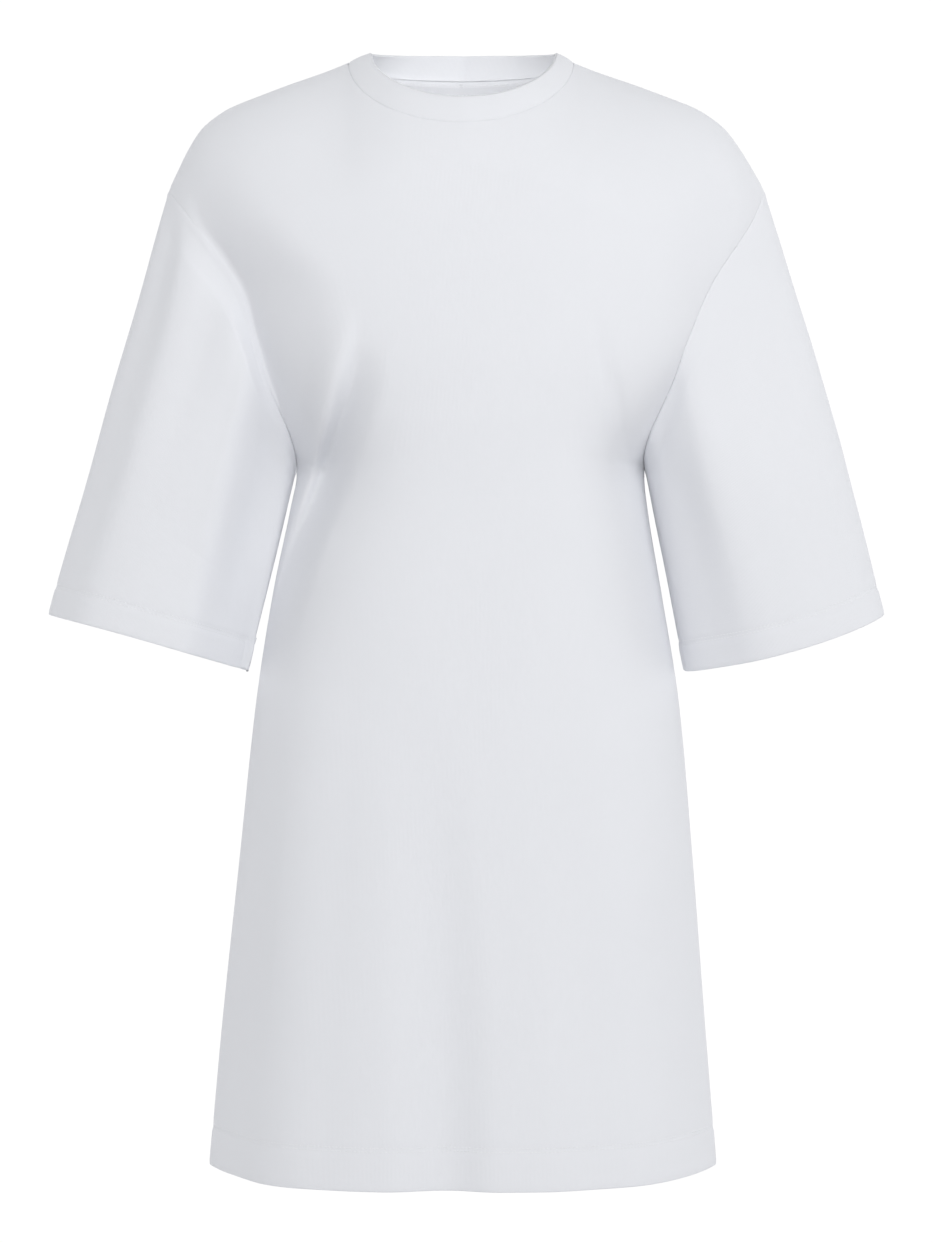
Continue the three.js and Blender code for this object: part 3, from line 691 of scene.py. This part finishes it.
sleeveSides = {
    -1: {"node": "left_sleeve", "folds": leftSleeveFolds, "dip": -2.5, "swell": 0.3, "press": 0.95},
    1: {"node": "right_sleeve", "folds": rightSleeveFolds, "dip": 7, "swell": 3.5, "press": 0.6},
}


def cuffPoint(side, turn):
    power = 2 / sleeve["roundness"]
    out = np.sign(np.cos(turn)) * np.abs(np.cos(turn)) ** power
    forward = np.sign(np.sin(turn)) * np.abs(np.sin(turn)) ** power
    dip = sleeveSides[side]["dip"] * forward ** 2
    angle, wide = sleeve["armAngle"], sleeve["cuffHalfWidth"]
    x = side * (sleeve["cuffCentre"][0] + wide * math.cos(angle) * out + dip * math.sin(angle))
    z = sleeve["cuffCentre"][1] + wide * math.sin(angle) * out - dip * math.cos(angle)
    return np.stack([x, -sleeve["cuffHalfDepth"] * forward, z], axis=-1)


def pressedUnderarm(row, part, u, side):
    # between the ridges at the front and the back the cloth slants to a pressed edge under the arm
    edge = int(np.argmin(np.abs(part - 1)))
    amount = sleeveSides[side]["press"] * smoothStep(u, 0, underarm["start"])
    pressed = row.copy()
    for ridge in (underarm["frontRidge"], underarm["backRidge"]):
        inside = (part >= min(ridge, 1)) & (part <= max(ridge, 1))
        start = row[int(np.argmin(np.abs(part - ridge)))]
        away = np.hypot(row[inside, 0] - row[edge, 0], row[inside, 2] - row[edge, 2])
        reach = np.clip(away / math.hypot(start[0] - row[edge, 0], start[2] - row[edge, 2]), 0, 1)
        slant = start[1] * (1 - (1 - reach) ** underarm["slant"])
        pressed[inside, 1] = row[inside, 1] * (1 - amount) + slant * amount
    return pressed


def sleeveGrid(side):
    own = sleeveSides[side]
    count = body["armholeRows"]
    armhole = alongPath(armholePath[side], easedStep(np.arange(count, -1, -1), count))
    frontEdge, backEdge = surfacePoint("front", armhole), surfacePoint("back", armhole)[::-1]
    frontLength, backLength = lengthAlong(frontEdge), lengthAlong(backEdge)
    ring = np.concatenate([frontEdge, backEdge[1:-1]])
    part = np.concatenate([frontLength / frontLength[-1], 1 + backLength[1:-1] / backLength[-1]])
    turn = np.pi * part
    cuff = cuffPoint(side, turn)
    outSide = np.array([side * math.cos(sleeve["armAngle"]), 0, math.sin(sleeve["armAngle"])])
    outward = np.cos(turn)[:, None] * outSide + np.sin(turn)[:, None] * np.array([0, -1, 0])
    rows = []
    for u in np.linspace(0, 1, sleeve["rows"] + 1):
        row = pressedUnderarm(ring * (1 - u) + cuff * u, part, u, side)
        lift = own["swell"] * math.sin(math.pi * u) * np.maximum(np.cos(turn), 0)
        for fold in own["folds"].values():
            if not fold["u"][0] < u <= fold["u"][-1]:
                continue
            middle, depth, lower, higher = (
                readTable(fold, column, u, key="u") for column in ("round", "depth", "lower", "higher"))
            away = (part - middle + 1) % 2 - 1
            reach = np.where(away < 0, lower, higher)
            pressed = depth * bell(away / reach) * min(1, sleeve["foldStart"] * u)
            if fold.get("back"):
                row[:, 1] += pressed
            else:
                lift = lift - pressed
        waves = unevenness(row[:, 0] * 1.3, row[:, 2] * 1.2, 1.0 + side)
        lift = lift - waves * min(1, sleeve["wavesStart"] * u)
        row = row + outward * lift[:, None]
        row[:, 0] += side * sleeve["shiftOut"]
        row[:, 2] -= sleeve["shiftDown"]
        rows.append(row)
    points = np.array(rows)
    if side < 0:
        points = np.concatenate([points[:, :1], points[:, :0:-1]], axis=1)
    return points


def cuffRoom(points):
    # where the two sides meet under the arm there is less room for the turn-up
    under = points.shape[1] // 2
    fromUnder = np.abs(np.arange(points.shape[1]) - under)
    apart = np.abs(points[-1, :, 1] - points[-1, under, 1])
    room = np.clip(apart / (sleeve["roomReach"] * cloth["turnUpGap"]), sleeve["leastRoom"], 1)
    return np.where(fromUnder < under // 2, room, 1)[:, None]


def sleeveSurface(side):
    # the grid with the pull of the cuff's stitches, and at the armhole the seam's dip and swell
    points = sleeveGrid(side)
    down = runningLength(points, 0)
    pull = stitchPull(down[-1:] - down, sleeve["turnUp"]) - seamDip(down)
    pull += sleeve["seamSwell"] * np.exp(-((down - sleeve["seamSwellAt"]) / sleeve["seamSwellReach"]) ** 2)
    return points + gridNormals(points, closed=True) * pull[..., None]


sleevePoints = {}
for side, own in sleeveSides.items():
    node = own["node"]
    points = sleeveSurface(side)
    sleevePoints[side] = points
    points = withTurnUp(points, sleeve["turnUp"], "last row", sleeve["rowsIn"], closed=True,
                        room=cuffRoom(points))
    clothMesh(node + "_cloth", points, jersey, node, closed=True)
    print("made the", node.replace("_", " "))


# Neckband: one strip folded over its top edge, outer and inner layer in one sheet

band = {
    "topHalf": 76.5, "topShift": 2.2, "topHeight": 8.5, "dropFront": 48, "riseBack": 6.5,
    "depthRatio": 0.93, "gap": 1.05, "thickness": 0.9, "steps": 16, "crownSteps": 7, "foot": (5.0, 0.6),
    "swell": 0.9, "seamPull": 0.3, "seamReach": 0.07,
    "innerSwell": 0.4, "innerFoot": 0.9, "innerReach": 0.09,
}


def bandLines():
    count = 4 * body["neckColumns"]
    turn = 2 * np.pi * np.arange(count) / count
    atFront = np.cos(turn) > -1e-9
    seam = np.empty((count, 3))
    seam[atFront] = surfacePoint("front", neckEdge("front", turn[atFront]))
    seam[~atFront] = surfacePoint("back", neckEdge("back", np.pi - turn[~atFront]))
    rise = np.where(atFront, -band["dropFront"], band["riseBack"])
    height = band["topHeight"] + rise * np.abs(np.cos(turn))
    x = section("middle", 0) + band["topShift"] + band["topHalf"] * np.sin(turn)
    topLine = np.stack([x, seam[:, 1] * band["depthRatio"], height], axis=-1)
    up = topLine - seam
    tall = np.linalg.norm(up, axis=1, keepdims=True)
    around = np.stack([np.cos(turn), np.sin(turn), np.zeros(count)], axis=-1)
    outward = np.cross(around, up)
    outward /= np.linalg.norm(outward, axis=1, keepdims=True)
    return seam + up / tall * cloth["seamGap"], up - up / tall * cloth["seamGap"], outward


seamLine, bandUp, bandOut = bandLines()
front = linesBehind(panelPoints["front"], "last row", band["foot"])
back = linesBehind(panelPoints["back"], "last row", band["foot"])
middle, reach = body["halfColumns"], body["neckColumns"]
rows = [
    np.concatenate([f[middle:middle + reach], b[middle - reach:middle + reach], f[middle - reach:middle]])
    for f, b in zip(front, back)
]
for part in np.linspace(0, 0.97, band["steps"]):
    pull = band["seamPull"] * math.exp(-(part / band["seamReach"]) ** 2)
    rise = band["swell"] * math.sin(math.pi * part) - pull
    rows.append(seamLine + bandUp * part + bandOut * rise)
tall = np.linalg.norm(bandUp, axis=1, keepdims=True)
crown = seamLine + bandUp * (1 - band["gap"] / tall)
for angle in np.linspace(0.1, 0.9, band["crownSteps"]) * math.pi:
    back = band["gap"] * (1 - math.cos(angle))
    rows.append(crown - bandOut * back + bandUp / tall * band["gap"] * math.sin(angle))
for part in np.linspace(0.95, 0.02, band["steps"] - 2):
    swell = band["innerSwell"] * band["swell"] * math.sin(math.pi * part)
    away = 2 * band["gap"] - swell + band["innerFoot"] * math.exp(-(part / band["innerReach"]) ** 2)
    rows.append(seamLine + bandUp * part - bandOut * away)
clothMesh("neckband_cloth", np.array(rows), bandJersey, "neckband", closed=True,
                             thickness=band["thickness"])
print("made the neckband")


# Seam allowances: a narrow strip pressed open behind each seam

allowance = {"far": 6.0, "near": 0.5, "thickness": 0.5}
frontEdges = {-1: "first column", 1: "last column"}
backEdges = {-1: "last column", 1: "first column"}


def sleeveRing(side, distances):
    # lines beside an armhole, on the body, in the order of the sleeve's own ring
    rowsUp = slice(body["skirtRows"], None)
    front = linesBehind(panelPoints["front"], frontEdges[side], distances, rowsUp)
    back = linesBehind(panelPoints["back"], backEdges[side], distances, rowsUp)
    rings = [np.concatenate([f[::-1], b[1:-1]]) for f, b in zip(front, back)]
    return rings if side > 0 else [np.concatenate([ring[:1], ring[:0:-1]]) for ring in rings]


def allowanceMesh(name, lines, closed=False):
    return clothMesh(name + "_seam_allowance", np.array(lines), jersey, closed=closed,
                     thickness=allowance["thickness"])


far, near = allowance["far"], allowance["near"]
strips = {}
for side, own in sleeveSides.items():
    rings = sleeveRing(side, (far, near))
    grid = sleevePoints[side]
    normals = gridNormals(grid, closed=True)
    lengths = runningLength(grid, 0)
    columns = np.arange(grid.shape[1])
    for distance in (near, far):
        rows = np.argmin(np.abs(lengths - distance), axis=0)
        rings.append(grid[rows, columns] - normals[rows, columns] * cloth["layerBehind"])
    strips[own["node"]] = allowanceMesh(own["node"], rings, closed=True)
below = slice(0, body["skirtRows"] + 1)
shoulders = {
    -1: slice(0, body["halfColumns"] - body["neckColumns"] + 1),
    1: slice(body["halfColumns"] + body["neckColumns"], None),
}
for side, word in ((-1, "left"), (1, "right")):
    lines = linesBehind(panelPoints["front"], frontEdges[side], (far, near), below)
    lines += linesBehind(panelPoints["back"], backEdges[side], (near, far), below)
    lines = np.array(lines if side > 0 else lines[::-1]).swapaxes(0, 1)
    strips[word + "_side"] = allowanceMesh(word + "_side", lines)
    lines = linesBehind(panelPoints["front"], "last row", (far, near), shoulders[side])
    back = linesBehind(panelPoints["back"], "last row", (near, far), shoulders[-side])
    lines += [line[::-1] for line in back]
    strips[word + "_shoulder"] = allowanceMesh(word + "_shoulder", lines)
print("made the seam allowances")

# Tape inside the back neck, over the neckband's seam

tape = {
    "turn": math.radians(68), "clear": 1.2, "width": 10, "inward": 1.5, "thickness": 0.7, "columns": 60,
    "rows": 8, "stitchedRows": (1, 6),
}
turns = tape["turn"] * np.linspace(1, -1, tape["columns"])
rows = []
for below in tape["clear"] + tape["width"] * np.linspace(1, 0, tape["rows"]):
    flat = neckEdge("back", turns)
    flat[:, 1] -= below
    rows.append(surfacePoint("back", flat))
tapePoints = np.array(rows)
tapeNormals = gridNormals(tapePoints)
tapePoints = tapePoints - tapeNormals * tape["inward"]
clothMesh("neck_tape_cloth", tapePoints, twill, "neck_tape",
                              thickness=tape["thickness"])
print("made the neck tape")


# Stitches: short lengths of thread that dip into the cloth at both ends

def stitchRow(line, outward, closed=False):
    if closed:
        line = np.concatenate([line, line[:1]])
        outward = np.concatenate([outward, outward[:1]])
    length = lengthAlong(line)

    def read(values, at):
        return np.stack([np.interp(at, length, values[:, k]) for k in range(3)], axis=-1)

    margin = 0 if closed else stitch["margin"]
    count = int((length[-1] - 2 * margin) / stitch["pitch"])
    pitch = (length[-1] - 2 * margin) / count
    middles = margin + pitch * (np.arange(count) + 0.5)
    around = (np.arange(stitch["round"]) * math.tau / stitch["round"])[None, :, None]
    rings = []
    for along, wide, lift in stitch["rings"]:
        at = middles + along * stitch["length"]
        out = read(outward, at)
        out /= np.linalg.norm(out, axis=1, keepdims=True)
        aside = np.cross(read(line, at + stitch["look"]) - read(line, at - stitch["look"]), out)
        aside /= np.linalg.norm(aside, axis=1, keepdims=True)
        spot = read(line, at) + out * lift
        spread = np.cos(around) * out[:, None] + np.sin(around) * aside[:, None]
        rings.append(spot[:, None] + stitch["thread"] * wide * spread)
    return np.stack(rings, axis=1)


def stitchMesh(name, rows):
    points = np.concatenate(rows)
    count, each = stitch["round"], stitch["round"] * len(stitch["rings"])
    sides = []
    for start in range(0, each - count, count):
        for k in range(count):
            a, b = start + k, start + (k + 1) % count
            sides.append([a, b, b + count, a + count])
    sides += [[3, 2, 1, 0], [5, 4, 3, 0], [18, 19, 20, 21], [18, 21, 22, 23]]  # the two ends
    faces = (each * np.arange(len(points))[:, None, None] + np.array(sides)[None]).reshape(-1, 4)
    mesh = bpy.data.meshes.new(name)
    mesh.from_pydata((points.reshape(-1, 3) * mm).tolist(), [], faces.tolist())
    mesh.polygons.foreach_set("use_smooth", np.ones(len(mesh.polygons), bool))
    mesh.materials.append(thread)
    made = bpy.data.objects.new(name, mesh)
    bpy.context.scene.collection.objects.link(made)
    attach(made, "root")
    return made


sewing = {}
for face, node in (("front", "front_panel"), ("back", "back_panel")):
    rows = []
    for distance in twinRows(body["hemTurnUp"]):
        rows.append(stitchRow(*pointsFromEdge(panelPoints[face], distance, "first row")))
    sewing[node] = stitchMesh(face + "_hem_stitches", rows)
for side, own in sleeveSides.items():
    rows = []
    for distance in twinRows(sleeve["turnUp"]):
        line = pointsFromEdge(sleevePoints[side], distance, "last row", closed=True)
        rows.append(stitchRow(*line, closed=True))
    sewing[own["node"]] = stitchMesh(own["node"] + "_cuff_stitches", rows)
inner = tapePoints - tapeNormals * tape["thickness"]
rows = [stitchRow(inner[row], -tapeNormals[row]) for row in tape["stitchedRows"]]
sewing["neck_tape"] = stitchMesh("neck_tape_stitches", rows)
print("sewn")


# What each sheet was cut to, as far as it shows: width by length in metres before sewing, and the area
# where the piece isn't a rectangle

cuts = {
    "front_panel": {"flat": (0.60, 0.98), "area": 0.45, "held": "hung", "on": ["neckband"],
                    "strips": ["left_side", "right_side", "left_shoulder", "right_shoulder"]},
    "back_panel": {"flat": (0.59, 0.98), "area": 0.45, "held": "hung", "on": ["neckband"]},
    "left_sleeve": {"flat": (0.52, 0.39), "area": 0.15, "held": "hung", "strips": ["left_sleeve"],
                    "on": ["front_panel", "back_panel"]},
    "right_sleeve": {"flat": (0.52, 0.39), "area": 0.15, "held": "hung", "strips": ["right_sleeve"],
                     "on": ["front_panel", "back_panel"]},
    "neckband": {"flat": (0.50, 0.045), "held": "stretched", "on": ["front_panel", "back_panel"]},
    "neck_tape": {"flat": (0.185, 0.012), "held": "stretched", "on": ["back_panel"]},
}
for node, cut in cuts.items():
    extra = [sewing[node]] if node in sewing else []
    extra += [strips[word] for word in cut.get("strips", [])]
